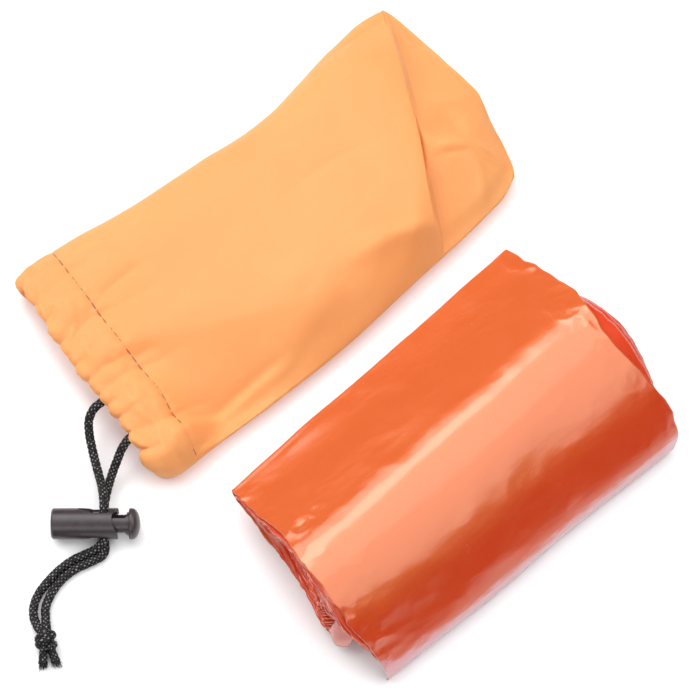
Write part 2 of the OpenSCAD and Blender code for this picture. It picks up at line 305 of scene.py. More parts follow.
def woven_nylon():
    """Thin plain-weave nylon: fine threads both ways, a soft sheen, a little light through it."""
    m = NodeBuilder("woven_nylon")
    tone = m.ramp(m.noise((0.03, 0.03, 0.03)), [(0.3, color(252, 142, 78)), (0.75, color(254, 149, 86))])
    per_thread = 2 * math.pi / 0.32
    warp, weft = (m.math("SINE", m.math("MULTIPLY", way, per_thread)) for way in m.piece_uv())
    weave = m.bump(m.math("MULTIPLY", warp, weft), 0.35, 0.05)
    slubs = m.bump(m.noise((0.25, 0.25, 0.25), 4.0), 0.25, 0.5, weave)
    m.set(Base_Color=tone, Normal=slubs, Roughness=0.62)
    m.set(Sheen_Weight=0.35, Sheen_Roughness=0.45, Sheen_Tint=color(255, 214, 160))
    m.set(Subsurface_Weight=0.5, Subsurface_Radius=(1.0, 0.42, 0.16), Subsurface_Scale=4.0 * MM)
    return m.material


def sewing_thread():
    m = NodeBuilder("sewing_thread")
    tone = m.ramp(m.noise((1.5, 1.5, 1.5)), [(0.3, color(140, 70, 30)), (0.7, color(168, 92, 42))])
    m.set(Base_Color=tone, Roughness=0.6, Sheen_Weight=0.3)
    return m.material


def braided_cord():
    """Black polyester braid with painted highlights: pale grey where the strands cross, broken up by noise.
    """
    m = NodeBuilder("black_braid")
    turns, along = m.piece_uv()
    turn = m.math("MULTIPLY", turns, BRAID_STRANDS * 2 * math.pi)
    lay = m.math("MULTIPLY", along, 2 * math.pi / BRAID_PITCH)
    left, right = (m.math("SINE", m.math(sign, turn, lay)) for sign in ("ADD", "SUBTRACT"))
    crossing = m.math("ABSOLUTE", m.math("MULTIPLY", left, right))
    # Painted highlight: pale grey where the crossing strands and the noise are both high.
    painted_glint = m.math("MULTIPLY", crossing, m.noise((0.9, 0.9, 0.9), 2.0))
    tone = m.ramp(painted_glint, [(0.34, color(9, 7, 8)), (0.52, color(128, 124, 126))])
    fibre = m.bump(m.noise((9, 9, 9), 2.0), 0.3, 0.06)
    m.set(Base_Color=tone, Normal=fibre, Roughness=0.6, Specular_IOR_Level=0.25)
    return m.material


def moulded_plastic():
    """Satin black-brown acetal with a fine moulded grain."""
    m = NodeBuilder("moulded_plastic")
    tone = m.ramp(m.noise((0.4, 0.4, 0.4)), [(0.3, color(44, 36, 39)), (0.7, color(58, 48, 52))])
    grain = m.bump(m.noise((6, 6, 6)), 0.12, 0.05)
    m.set(Base_Color=tone, Normal=grain, Roughness=0.34)
    return m.material


def spring_wire():
    m = NodeBuilder("spring_wire")
    tone = m.ramp(m.noise((3, 3, 3)), [(0.3, color(150, 152, 156)), (0.7, color(190, 192, 196))])
    m.set(Base_Color=tone, Metallic=1.0, Roughness=0.3)
    return m.material


def orange_film(name, dark, light, rough, painted_lit_top=None, hem=None):
    """Thin glossy film: a clear gloss over the colour, with fine creases and a soft haze.

    The outer turn runs from its hem up the near side. Along the hem its colour is a painted reflection of
    the white floor, a pinkish white;
    higher up, where the film lies over the roll's top, it is painted a lighter orange, as painted light.
    """
    m = NodeBuilder(name)
    tone = m.ramp(m.noise((0.05, 0.05, 0.05), 4.0), [(0.3, dark), (0.7, light)])
    if hem is not None:
        # Painted light and painted reflection: the colour turns lighter orange from 24 to 40 mm round from
        # the hem, and pinkish white, for the floor's reflection, within about 12 mm of it.
        wander = m.math("MULTIPLY", m.noise((0.12, 0.5, 0.5), 4.0), 7.0)
        from_hem = m.math("ADD", m.piece_uv()[1], wander)
        for none_at, full_at, other in ((24.0, 40.0, painted_lit_top), (12.4, 9.4, hem)):
            share = m.node("ShaderNodeMapRange", interpolation_type="SMOOTHSTEP")
            m.wire(from_hem, share, "Value")
            share.inputs["From Min"].default_value = none_at
            share.inputs["From Max"].default_value = full_at
            mix = m.node("ShaderNodeMix", data_type="RGBA")
            color_a, color_b = [i for i, socket in enumerate(mix.inputs) if socket.type == "RGBA"]
            m.wire(share.outputs["Result"], mix, "Factor")
            m.wire(tone, mix, color_a)
            mix.inputs[color_b].default_value = other
            tone = next(socket for socket in mix.outputs if socket.type == "RGBA")
    haze = m.ramp(m.noise((0.12, 0.12, 0.12), 5.0), [(0.3, grey(rough * 0.8)), (0.75, grey(rough * 1.3))])
    wide = m.bump(m.noise((0.16, 0.3, 0.3), 5.0, 0.6), 0.35, 0.4)
    fine = m.bump(m.noise((0.8, 1.2, 1.2), 4.0), 0.2, 0.1, wide)
    m.set(Base_Color=tone, Roughness=haze, Normal=fine, IOR=1.7, Specular_Tint=color(255, 205, 150))
    m.set(Coat_Weight=1.0, Coat_Roughness=0.14, Coat_IOR=1.5)
    return m.material


BRAID_STRANDS = 3
BRAID_PITCH = 2.8
NYLON = woven_nylon()
THREAD = sewing_thread()
BRAID = braided_cord()
PLASTIC = moulded_plastic()
WIRE = spring_wire()
# The outer film's colour holds painted light: a lighter orange over the roll's top, and along its hem a
# pinkish white that is a painted reflection of the white floor.
FILM = orange_film("bivy_film", color(188, 54, 18), color(193, 60, 22), 0.22,
                   painted_lit_top=color(197, 88, 40), hem=color(200, 134, 144))
FILM_INSIDE = orange_film("bivy_film_inside", color(202, 50, 18), color(214, 66, 28), 0.3)
LINING = orange_film("bivy_lining", color(214, 146, 140), color(230, 176, 170), 0.25)


# ---- Camera, light and floor ----
CAMERA_AZIMUTH = -43.0
CAMERA_ELEVATION = 68.0
CAMERA_DISTANCE = 1.1
VIEW_WIDTH = 0.206
LOOK_AT = Vector((-0.0105, -0.003, 0.012))


def direction(azimuth, elevation):
    """The way from the object to an eye or a lamp: azimuth 0 is on the -Y side."""
    a, e = math.radians(azimuth), math.radians(elevation)
    return Vector((math.sin(a) * math.cos(e), -math.cos(a) * math.cos(e), math.sin(e)))


def aim(piece, target):
    piece.rotation_euler = (target - piece.location).to_track_quat("-Z", "Y").to_euler()


def add_camera():
    data = bpy.data.cameras.new("camera")
    data.sensor_width = 36.0
    data.lens = 36.0 * CAMERA_DISTANCE / VIEW_WIDTH
    data.clip_start = 0.05
    camera = bpy.data.objects.new("camera", data)
    bpy.context.collection.objects.link(camera)
    camera.location = LOOK_AT + CAMERA_DISTANCE * direction(CAMERA_AZIMUTH, CAMERA_ELEVATION)
    aim(camera, LOOK_AT)
    bpy.context.scene.camera = camera


# Soft boxes: name, place, the point each looks at, its two sides in metres, and its power in watts.
SOFTBOXES = [
    ("ceiling", (0.27, 0.4, 0.9), (0.27, 0.4, 0.0), (0.75, 1.5), 8.3),
    ("ceiling_front", (0.3, -1.1, 0.9), (0.3, -1.1, 0.0), (0.8, 1.5), 6.6),
    ("fill", (-1.0, -0.55, 0.75), (0.0, 0.0, 0.0), (0.6, 0.6), 3.0),
    ("key", (-0.25, 0.9, 0.9), (0.0, 0.0, 0.0), (1.4, 1.1), 12.5),
]


def add_lights():
    for name, place, target, size, watts in SOFTBOXES:
        data = bpy.data.lights.new(name, "AREA")
        data.shape = "RECTANGLE"
        data.size, data.size_y = size
        data.energy = watts
        lamp = bpy.data.objects.new(name, data)
        bpy.context.collection.objects.link(lamp)
        lamp.location = place
        aim(lamp, Vector(target))


def add_surroundings():
    """A room that is bright overhead and dark low down, for the gloss to reflect."""
    world = bpy.data.worlds.new("studio")
    bpy.context.scene.world = world
    world.use_nodes = True
    nodes, links = world.node_tree.nodes, world.node_tree.links
    nodes.clear()
    place = nodes.new("ShaderNodeTexCoord")
    split = nodes.new("ShaderNodeSeparateXYZ")
    tone = nodes.new("ShaderNodeValToRGB")
    back = nodes.new("ShaderNodeBackground")
    output = nodes.new("ShaderNodeOutputWorld")
    links.new(place.outputs["Generated"], split.inputs["Vector"])
    links.new(split.outputs["Z"], tone.inputs["Fac"])
    links.new(tone.outputs["Color"], back.inputs["Color"])
    links.new(back.outputs["Background"], output.inputs["Surface"])
    fill_ramp(tone.color_ramp, [(0.0, grey(0.10)), (0.3, grey(0.16)), (0.7, grey(0.85)), (0.95, grey(1))])
    back.inputs["Strength"].default_value = 0.6


def add_floor():
    """A white table with painted shade: its colour darkens away from the object, as if the light fell off
    there, so that the film's steep sides have some depth.
    """
    bpy.ops.mesh.primitive_plane_add(size=6.0, location=(0, 0, 0))
    floor = bpy.context.object
    floor.name = "floor"
    m = NodeBuilder("white_table")
    ring = m.node("ShaderNodeVectorMath", operation="LENGTH")
    m.wire(m.position((1, 1, 1)), ring, "Vector")
    reach = m.math("MULTIPLY", ring.outputs["Value"], 0.002)
    # Painted shade: pale grey out to about 165 mm from the object, falling to dark grey at about 310 mm.
    tone = m.ramp(reach, [(0.33, (0.85, 0.85, 0.86, 1)), (0.62, grey(0.3))])
    m.set(Base_Color=tone, Roughness=0.5)
    floor.data.materials.append(m.material)


def add_studio():
    add_surroundings()
    add_lights()
    add_floor()
    view = bpy.context.scene.view_settings
    view.view_transform = "Standard"
    view.look = "None"
    view.exposure = 0.12


# ---- Drawcord ----
CORD_D = 2.5
# The cord's routes, as points in millimetres along its middle.
LOOP_FAR = [
    (-67.5, 37.6, 10.7), (-70.2, 35.7, 10.7), (-74, 35, 10.7), (-77.4, 35.2, 10), (-80.4, 34.2, 8.3),
    (-82.8, 31.6, 6.5), (-84.9, 28.2, 5.1), (-87, 24.4, 4.4), (-89, 20.6, 4.8), (-91, 16.9, 6.2),
    (-93.3, 13.4, 7.7), (-95.7, 10.4, 8.3), (-98.45, 7.45, 6.1),
]
LOOP_NEAR = [
    (-70, 18.2, 10.7), (-72.4, 20.2, 10.7), (-76, 21, 10.6), (-79.4, 20.6, 9.2), (-82.4, 19.6, 6.8),
    (-85.4, 18.4, 4.6), (-88.6, 16.6, 3.6), (-91.8, 14.2, 4.6), (-94.9, 11.3, 6.1), (-97.55, 8.6, 3.8),
]
TAIL_OUTER = [
    (-98.45, 7.45, 6.1), (-101.1, 4.7, 3.7), (-104, 4.5, 2.4), (-107.6, 5.7, 1.6), (-111.6, 6.9, 1.3),
    (-116.2, 7.3, 1.3), (-121, 6.9, 1.3), (-125.2, 6, 1.3), (-128.5, 4.4, 1.3), (-130.9, 2, 1.5),
    (-132.2, -0.8, 2), (-132.8, -3.6, 2.8),
]
TAIL_INNER = [
    (-97.55, 8.6, 3.8), (-100.2, 5.6, 1.6), (-103.7, 2.2, 1.3), (-107.8, 2.9, 1.3), (-112, 4.2, 1.3),
    (-116.4, 4.7, 1.3), (-120.8, 4.1, 1.3), (-124.2, 2.9, 1.3), (-126.9, 1.3, 1.3), (-128.7, -0.8, 1.5),
    (-130.2, -2.8, 2), (-131.4, -4.6, 2.6),
]
KNOT_MIDDLE = np.array([-133.6, -6.6, 3.0])


def curve_through(points, spacing):
    """Evenly spaced points, in millimetres, on a smooth curve through the given ones."""
    points = np.asarray(points, float)
    reach = np.r_[0.0, np.cumsum(np.linalg.norm(np.diff(points, axis=0), axis=1))]
    steps = np.linspace(0.0, reach[-1], 12 * len(points))
    dense = np.column_stack([smooth_table(steps, np.column_stack([reach, points[:, k]])) for k in range(3)])
    walked = np.r_[0.0, np.cumsum(np.linalg.norm(np.diff(dense, axis=0), axis=1))]
    count = max(int(round(walked[-1] / spacing)), 2)
    even = np.linspace(0.0, walked[-1], count + 1)
    return np.column_stack([np.interp(even, walked, dense[:, k]) for k in range(3)]), walked[-1]


def braid_relief(along, around):
    """Height of a round braid, in millimetres: strands cross over and under each other."""
    lay = 2 * math.pi * along / BRAID_PITCH
    a = np.sin(BRAID_STRANDS * around + lay)
    b = np.sin(BRAID_STRANDS * around - lay)
    over = np.cos(lay)
    return 0.16 * (np.abs(a) * (1 + over) + np.abs(b) * (1 - over)) - 0.2


def cord_mesh(name, route, diameter=CORD_D, taper=None):
    """A braided round cord along a route: the piece, its ring centres and its length in millimetres."""
    sides = 36
    path, length = curve_through(route, 0.22)
    along = np.linspace(0.0, length, len(path))[:, None]
    around = np.linspace(0.0, 2 * math.pi, sides, endpoint=False)[None, :]
    radius = diameter / 2 + braid_relief(along, around)
    if taper is not None:
        radius = radius * taper(along / length)
    points = tube_points(path, radius[..., None], sides)
    piece = add_mesh(name, points, tube_faces(len(path), sides), BRAID)
    turns, way = np.broadcast_arrays(around / (2 * math.pi), along)
    set_grid_uv(piece, np.stack([turns, way], axis=-1).reshape(-1, 2))
    return piece, path, length


def join(name, pieces):
    """Several meshes as one piece."""
    with bpy.context.temp_override(active_object=pieces[0], selected_editable_objects=pieces):
        bpy.ops.object.join()
    pieces[0].name = name
    return pieces[0]


KNOT_WAY = np.array([-0.56, -0.83, -0.04])
KNOT_SIDE = np.array([0.83, -0.56, 0.0])
UP = np.array([0.0, 0.0, 1.0])


def knot_point(along, across, up):
    """A point given from the knot's middle: along the two strands towards their tips, across and up."""
    return KNOT_MIDDLE + along * KNOT_WAY + across * KNOT_SIDE + up * UP


def add_knot():
    """An overhand knot: the doubled cord wraps twice round itself and both strands run out below."""
    wrap_d = 2.3
    steps = 15
    parts = []
    for k, shift in enumerate((-1.1, 1.0)):
        route = []
        for step in range(steps):
            angle = math.radians(-120 + 150 * k + 27 * step)
            along = shift + 1.5 * (step / (steps - 1) - 0.5)
            route.append(knot_point(along, 2.05 * math.cos(angle), 0.1 + 1.75 * math.sin(angle)))
        parts.append(cord_mesh(f"wrap_{k}", route, wrap_d)[0])
    for k, side in enumerate((-0.8, 0.8)):
        route = [knot_point(along, side, 0.2) for along in (-3.4, -1.5, 0.6, 3.2)]
        parts.append(cord_mesh(f"core_{k}", route, wrap_d)[0])
    knot = join("cord_knot_braid", parts)
    settle(knot, "stuff_sack", "drawcord", "cord_knot")
    return knot


FILAMENT_RINGS, FILAMENT_SIDES = 6, 5
FILAMENTS = 60


def filament(start, end, radius, bend):
    """Points of one frayed filament: a thin tapering tube with a slight bend."""
    t = np.linspace(0.0, 1.0, FILAMENT_RINGS)[:, None]
    path = start + (end - start) * t + bend * np.sin(math.pi * t * 0.5) ** 2
    path[:, 2] = np.maximum(path[:, 2], radius)
    return list(tube_points(path, radius * (1.0 - 0.5 * t[..., None]), FILAMENT_SIDES))


def add_tips():
    """Two short ends below the knot, cut and frayed into fine filaments."""
    random = np.random.default_rng(12)
    pieces = []
    for k, (side, spread) in enumerate(((-1.0, -0.25), (1.1, 0.35))):
        bend = knot_point(4.4, 1.15 * side + spread, -0.9)
        cut = knot_point(6.3, 1.2 * side + 2 * spread, -1.3)
        route = [knot_point(2.6, side, -0.3), bend, cut]
        pieces.append(cord_mesh(f"tip_{k}", route, taper=lambda share: 0.92 + 0.16 * share**3)[0])
        way = (cut - bend) / np.linalg.norm(cut - bend)
        points, faces = [], []
        for _ in range(FILAMENTS):
            turn, reach = random.uniform(0, 2 * math.pi), random.uniform(0, 1.0) ** 0.5
            off = reach * (math.cos(turn) * KNOT_SIDE + math.sin(turn) * UP)
            start = cut - 0.5 * way + off
            end = start + way * random.uniform(0.9, 2.1) + off * random.uniform(0.1, 0.7)
            end[2] = max(end[2], 0.25)
            faces += tube_faces(FILAMENT_RINGS, FILAMENT_SIDES, start=len(points))
            points += filament(start, end, random.uniform(0.09, 0.14), random.normal(0, 0.25, 3))
        fray = add_mesh(f"fray_{k}", points, faces, BRAID)
        fray.data.uv_layers.new(name=pieces[0].data.uv_layers[0].name)
        pieces.append(fray)
    tips = join("cord_tips_braid", pieces)
    settle(tips, "stuff_sack", "drawcord", "cord_ends")
    return tips


def add_channel_cord():
    """The part of the cord inside the hem, from one way out round the mouth to the other."""
    from_mouth, below_surface, diameter = 5.2, 1.55, 2.2
    over_far = np.linspace(0.47, 0.995, 16)
    under = np.linspace(0.995, 0.005, 26)
    over_near = np.linspace(0.005, 0.16, 5)
    v = np.r_[over_far, under, over_near]
    top = np.r_[np.ones(16, bool), np.zeros(26, bool), np.ones(5, bool)]
    ring = sack_point(np.full(len(v), from_mouth), v, top, np.full(len(v), below_surface))
    ring[:, 2] = np.maximum(ring[:, 2], 1.3)
    cord = cord_mesh("channel_cord_braid", [LOOP_FAR[0], *ring, LOOP_NEAR[0]], diameter)[0]
    settle(cord, "stuff_sack", "drawcord", "channel_cord")


def add_strand(node, route):
    """One strand of the cord, between the sack and the lock."""
    piece, path, length = cord_mesh(node + "_braid", route)
    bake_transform(piece)
    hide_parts(node)


def add_drawcord():
    for node, route, way_out in (("loop_strand_far", LOOP_FAR, 3), ("loop_strand_near", LOOP_NEAR, 2)):
        add_strand(node, route)
    ends = (add_knot(), add_tips())
    tails = (("tail_strand_outer", TAIL_OUTER), ("tail_strand_inner", TAIL_INNER))
    for (node, route), end in zip(tails, ends):
        add_strand(node, route)


# ---- Cord lock ----
LOCK_AT = (-98.0, 8.0, 4.95)
LOCK_TURN, LOCK_ROLL = math.radians(-43), math.radians(30)


def on_lock(x, y, z):
    """A point given on the cord lock's own axes, in millimetres of the shared frame."""
    turned = Matrix.Rotation(LOCK_TURN, 3, "Z") @ Matrix.Rotation(LOCK_ROLL, 3, "X") @ Vector((x, y, z))
    return tuple(turned + Vector(LOCK_AT))


def add_spring():
    """The lock's compression spring, coiled from its closed end to the plunger's tip."""
    closed, tip, radius, wire_d, coils = -13.2, -3.65, 2.4, 0.6, 6
    sides = 10
    turn = np.linspace(0.0, 2 * math.pi * coils, 36 * coils)
    run = np.linspace(closed, tip, len(turn))
    path = np.array([on_lock(x, radius * math.cos(a), radius * math.sin(a)) for x, a in zip(run, turn)])
    points = tube_points(path, wire_d / 2, sides)
    piece = add_mesh("lock_spring_coil", points, tube_faces(len(path), sides), WIRE)
    settle(piece, "cord_lock", "spring_steel", "lock_spring")
    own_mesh(piece)


# ---- Stuff sack ----
HEM_WIDTH = 15.4
FABRIC = 0.35
# The sack lies flat along X: its near and far sides, as (x, y), and its foot, as (y, x), in millimetres.
NEAR_EDGE = [(-77, 11), (-75.6, 7.6), (-73, 5.6), (-68, 4.6), (-60, 4.3), (-35, 2.4), (-10, 1.3), (24, 2.3),
             (52, 3.4), (60, 4.3), (66, 6.6)]
FAR_EDGE = [(-68.5, 79.5), (-66.5, 81.6), (-63, 82.6), (-51, 81.6), (-26, 77.5), (0, 74.2), (15, 71.6),
            (24, 71.1), (38, 72.6), (54, 74.6), (70, 75.2), (76, 73.6)]
FOOT_EDGE = [(2.8, 60), (4.6, 64), (6.6, 65.9), (14, 69.7), (24.5, 73.1), (30.5, 75.7), (34, 76.9),
             (38, 77.1), (47, 76.9), (58, 76.5), (66, 76.1), (72, 75.6), (75, 74.8)]
# Heights along X of the two side folds and of the top, and how far in the near side rises to the top.
SIDE_Z = [(-78, 5.4), (-58, 4.8), (-20, 4.4), (30, 4.8), (66, 5.4), (77, 6.4)]
TOP_Z = [(-78, 11.6), (-72, 12.2), (-62, 12.4), (-50, 13.0), (-25, 14.6), (0, 16.0), (25, 17.8), (45, 18.8),
         (77, 19.2)]
NEAR_FALL = [(-78, 6.0), (-60, 7.0), (-33, 7.0), (-15, 10.0), (5, 15.5), (20, 12.6), (33, 6.5), (42, 5.0),
             (66, 5.0)]
# The crease where the top folds down to the boxed end, along Y: its height, and the drop just past it.
CREASE_Z = [(3, 9.5), (8, 13.8), (14.5, 16.4), (23, 17.6), (37.5, 17.9), (49, 17.0), (56, 15.0),
            (63.5, 11.4), (71, 7.0)]
CREASE_STEP = [(4, 0.2), (8, 1.6), (12, 3.0), (24, 3.4), (34, 2.4), (42, 0.8), (50, 0.3), (71, 0.0)]
# Corners (x, y, z) of the flat facets that the boxed end is made of.
APEX, CREASE, PEAK = (74.5, 72.3, 6.0), (56.0, 38.0, 16.5), (60.0, 19.8, 13.8)
SIDE, CORNER, NEAR_FOOT = (73.0, 24.0, 6.4), (76.5, 33.0, 6.4), (66.0, 7.0, 5.5)
INNER, GROUND = (47.5, 24.5, 15.2), (51.0, 3.0, 6.0)
FACETS = [(APEX, CREASE, CORNER), (CREASE, PEAK, CORNER), (PEAK, SIDE, NEAR_FOOT), (INNER, PEAK, GROUND),
          (PEAK, NEAR_FOOT, GROUND)]
# Folds pressed into the top: points along each, its height (below 0 for a furrow) and its half width.
FOLDS = [
    ([(-57.6, 59.5), (-46, 59.8), (-34, 58.8)], -0.8, 1.7),
    ([(-74, 45), (-66, 42), (-60, 40.6), (-46, 34.6)], -0.9, 2.0),
    ([(-68, 46), (-58, 42.5), (-52, 40.0)], 0.5, 2.2),
    ([(-70, 15), (-61, 12.0), (-50, 8.9), (-33, 7.9), (-21, 6.6)], 0.9, 1.5),
    ([(-68, 19), (-58, 14.5), (-50, 11.8), (-33, 10.6), (-18, 9.8)], -1.0, 1.8),
    ([(35, 8.2), (20.4, 14.4), (4, 17.6)], 0.6, 1.8),
    ([(33, 12.5), (20, 19.0), (4, 23.0)], -0.4, 3.0),
    ([(-52, 45), (-22, 31), (6, 15)], 0.5, 4.0),
    ([(-30, 70), (5, 62), (40, 55)], -0.5, 3.0),
    ([(8, 46), (26, 44), (44, 38)], -0.4, 1.6),
    ([(-20, 28), (4, 22), (24, 22)], 0.5, 3.5),
]
END_FOLDS = [
    ([(48.0, 34.0), (56, 31.0), (67, 28.5)], -1.7, 4.0),
    ([(58.4, 40.9), (66, 36.6), (76, 33.2)], 0.5, 1.4),
    ([(50, 27.2), (56.6, 24.4), (60.8, 21.6), (66.2, 11.5)], 0.9, 1.3),
    ([(47.5, 25.6), (53.2, 23.3), (60, 19.6), (66, 8.4)], -0.5, 0.45),
    ([(59.8, 19.0), (57.0, 11.5), (51.5, 4.0)], 0.6, 1.4),
    ([(72, 66), (70, 55), (73, 42)], -0.6, 3.0),
]


def mouth_x(y):
    """Where the mouth's edge is along X; the crease and the foot have the like."""
    return -72.7 + 0.137 * (y - 42.0) - 1.6 * np.exp(-(((y - 50.0) / 16.0) ** 2))


def crease_x(y):
    return 36.0 + 0.587 * (y - 8.0) - 1.6 * (1.0 - ramp(y, 8, 36))


def foot_x(y):
    return smooth_table(y, FOOT_EDGE)


def bulge(distance, width):
    """0 at an edge, rising as a quarter circle to 1 at the given width inside it."""
    q = 1.0 - np.clip(distance / width, 0.0, 1.0)
    return np.sqrt(np.clip(1.0 - q * q, 0.0, 1.0))


def shoulder(distance, width):
    """0 at an edge, rising as a slope that bends into a flat top at the given width inside it."""
    q = np.clip(distance / width, 0.0, None)
    return 0.3 * bulge(distance, width) + 0.7 * soft_min(q, np.ones_like(q), 0.25)


def fold_relief(x, y, folds):
    """Sum of soft ridges and furrows that run along lines in the plan and fade out at both ends."""
    total = np.zeros(np.broadcast(x, y).shape)
    for points, height, width in folds:
        points = np.asarray(points, float)
        lengths = np.linalg.norm(np.diff(points, axis=0), axis=1)
        reach = lengths.sum()
        best = np.full(total.shape, 1e9)
        where = np.zeros(total.shape)
        done = 0.0
        for (ax, ay), (bx, by), length in zip(points[:-1], points[1:], lengths):
            t = ((x - ax) * (bx - ax) + (y - ay) * (by - ay)) / length**2
            t = np.clip(t, 0.0, 1.0)
            gap = np.hypot(x - ax - t * (bx - ax), y - ay - t * (by - ay))
            nearer = gap < best
            best = np.where(nearer, gap, best)
            where = np.where(nearer, done + t * length, where)
            done += length
        taper = ramp(where, -0.02 * reach, 0.3 * reach) * ramp(reach - where, -0.02 * reach, 0.3 * reach)
        total += height * taper * np.exp(-np.sqrt(1.0 + (best / width) ** 2) * 1.6 + 1.6)
    return total


def soft_min(a, b, k):
    """The lower of two surfaces, with the ridge between them rounded over a height of about k."""
    h = np.clip(0.5 + 0.5 * (b - a) / k, 0.0, 1.0)
    return b * (1 - h) + a * h - k * h * (1 - h)


def plane_z(x, y, corners):
    a, b, c = (np.array(p) for p in corners)
    n = np.cross(b - a, c - a)
    return a[2] - (n[0] * (x - a[0]) + n[1] * (y - a[1])) / n[2]


class Gathers:
    """Rounded pleats of uneven width round the sack, each ending in a sharp valley."""

    def __init__(self, seed, low, high, around):
        random = np.random.default_rng(seed)
        widths = random.uniform(low, high, int(around / (0.5 * (low + high))))
        widths *= around / widths.sum()
        self.edges = np.r_[0.0, np.cumsum(widths)]
        self.sizes = random.uniform(0.55, 1.15, len(widths))
        self.around = around

    def at(self, place):
        place = np.mod(place, self.around)
        i = np.clip(np.searchsorted(self.edges, place, side="right") - 1, 0, len(self.sizes) - 1)
        t = (place - self.edges[i]) / (self.edges[i + 1] - self.edges[i])
        width = (self.edges[i + 1] - self.edges[i]) / 6.0
        return self.sizes[i] * width * np.sin(math.pi * t) ** 0.8


# Round the flat sack, and from the mouth to the crease on its middle line.
SACK_AROUND = 154.0
WALL = crease_x(42.0) - mouth_x(42.0)
END_REACH = 30.0
FINE_GATHERS = Gathers(5, 4.2, 8.6, SACK_AROUND)
SMALL_GATHERS = Gathers(8, 2.0, 4.6, SACK_AROUND)
WIDE_GATHERS = Gathers(11, 11.0, 20.0, SACK_AROUND)
LIP_SETBACK = 4.6


def sack_plan(u, v):
    """Plan position for a share u of the way along (0 mouth, 1 crease, 2 foot) and v across."""
    y = np.zeros_like(u) + 4.0 + 74.0 * v
    for _ in range(6):
        body = mouth_x(y) + (crease_x(y) - mouth_x(y)) * u
        end = crease_x(y) + (foot_x(y) - crease_x(y)) * (u - 1.0)
        x = np.where(u <= 1.0, body, end)
        near, far = smooth_table(x, NEAR_EDGE), smooth_table(x, FAR_EDGE)
        y = near + (far - near) * v
    return x, y, near, far


def sack_surface(u, v, top):
    """The smooth outer surface of the sack, without its gathers."""
    x, y, near, far = sack_plan(u, v)
    foot_gap = foot_x(y) - x
    side_z = smooth_table(x, SIDE_Z)
    to_crease = smooth_table(y, CREASE_Z) + 0.42 * np.clip(crease_x(y) - x, 0, None) + 0.6
    full = soft_min(smooth_table(x, TOP_Z), to_crease, 1.8) + fold_relief(x, y, FOLDS)
    # The near half of the wall sags below a line from the channel to the near edge.
    below = (43.0 - y) * 0.88 - (x + 55.0) * 0.475
    sag = np.sqrt(np.clip(below, 0, None) ** 2 + 16.0) - 4.0
    full = full - 0.46 * sag * ramp(x, -66, -50) * (1.0 - ramp(x, 4, 24))
    end = plane_z(x, y, FACETS[0])
    for corners in FACETS[1:]:
        end = soft_min(end, plane_z(x, y, corners), 0.7)
    end = end + fold_relief(x, y, END_FOLDS)
    past = np.clip(x - crease_x(y), 0.0, None)
    brink = smooth_table(y, CREASE_Z) - smooth_table(y, CREASE_STEP)
    end = soft_min(end, brink + 0.55 * past + 0.2, 0.8)
    end = brink + (end - brink) * ramp(past, 0.0, 2.2)
    high = np.where(u <= 1.0, full, end)
    rise = shoulder(y - near, smooth_table(x, NEAR_FALL)) * bulge(far - y, 15.0)
    rise = rise * np.where(u > 1.0, bulge(foot_gap, 4.0), 1.0)
    foot_side = np.where(u > 1.0, bulge(foot_gap, 5.0), 1.0)
    low_rise = bulge(y - near, 5.0) * bulge(far - y, 5.0) * foot_side
    low = side_z + (0.45 - side_z) * low_rise
    z = np.where(top, side_z + (high - side_z) * rise, low)
    return np.stack(np.broadcast_arrays(x, y, z), axis=-1)


def hem_line(v):
    """How far in from the mouth edge the hem is stitched down, by the share across the sack."""
    return HEM_WIDTH - 3.0 * ramp(v, 0.45, 1.0)


